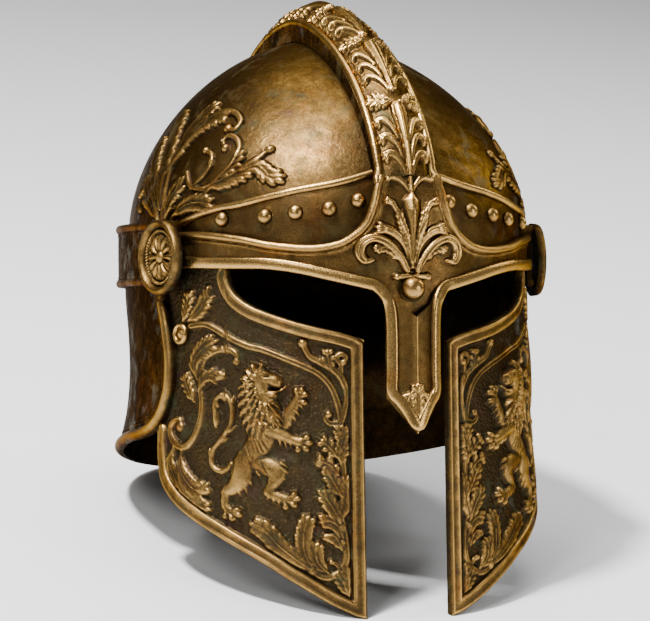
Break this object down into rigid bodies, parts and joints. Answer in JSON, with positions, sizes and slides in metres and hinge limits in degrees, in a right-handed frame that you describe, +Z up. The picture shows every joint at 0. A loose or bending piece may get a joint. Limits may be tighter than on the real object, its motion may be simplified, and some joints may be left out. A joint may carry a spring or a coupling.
{
  "type": "corinthian helmet",
  "caption": "Antique bronze open-faced war helmet with nose guard, long cheek plates, flared neck guard, raised comb and relief ornament.",
  "frame": {"origin": "middle of the bounding box at the surface that the helmet stands on", "axes": "+Z up as the helmet rests on its two cheek tips and the foot of its neck guard, the face looks along -Y and slightly up, +X to the wearer's left"},
  "size_m": [0.2244, 0.3088, 0.2801],
  "materials": {
    "bronze": "aged bronze, brown with coppery and dark mottling, satin",
    "dark_bronze": "dark patinated bronze, matt",
    "bright_bronze": "rubbed golden bronze on raised ornament, satin"
  },
  "bodies": {
    "root": {"skull_cap": "bronze", "brow_band": "bronze", "nose_guard": "bronze", "rear_band": "bronze", "neck_guard": "bronze", "comb": "dark_bronze", "cheek_plate_left": "dark_bronze", "cheek_plate_right": "dark_bronze", "comb_vine": "bright_bronze", "neck_rim": "bright_bronze", "eye_rim": "bright_bronze", "fleur_de_lis": "bright_bronze", "nose_leaf": "bright_bronze", "brow_boss": "bright_bronze", "cheek_rim_left": "bright_bronze", "comb_edge_left": "bright_bronze", "roundel_left": "bright_bronze", "rosette_left": "bright_bronze", "cap_moulding_left": "bright_bronze", "lion_left": "bright_bronze", "front_vine_left": "bright_bronze", "rear_vine_left": "bright_bronze", "cheek_scroll_left": "bright_bronze", "cap_spray_left": "bright_bronze", "cheek_stud_left": "bright_bronze", "rivet_left_1": "bright_bronze", "rivet_left_2": "bright_bronze", "rivet_left_3": "bright_bronze", "rivet_left_4": "bright_bronze", "rivet_left_5": "bright_bronze", "cheek_rim_right": "bright_bronze", "comb_edge_right": "bright_bronze", "roundel_right": "bright_bronze", "rosette_right": "bright_bronze", "cap_moulding_right": "bright_bronze", "lion_right": "bright_bronze", "front_vine_right": "bright_bronze", "rear_vine_right": "bright_bronze", "cheek_scroll_right": "bright_bronze", "cap_spray_right": "bright_bronze", "cheek_stud_right": "bright_bronze", "rivet_right_1": "bright_bronze", "rivet_right_2": "bright_bronze", "rivet_right_3": "bright_bronze", "rivet_right_4": "bright_bronze", "rivet_right_5": "bright_bronze"}
  },
  "joints": []
}
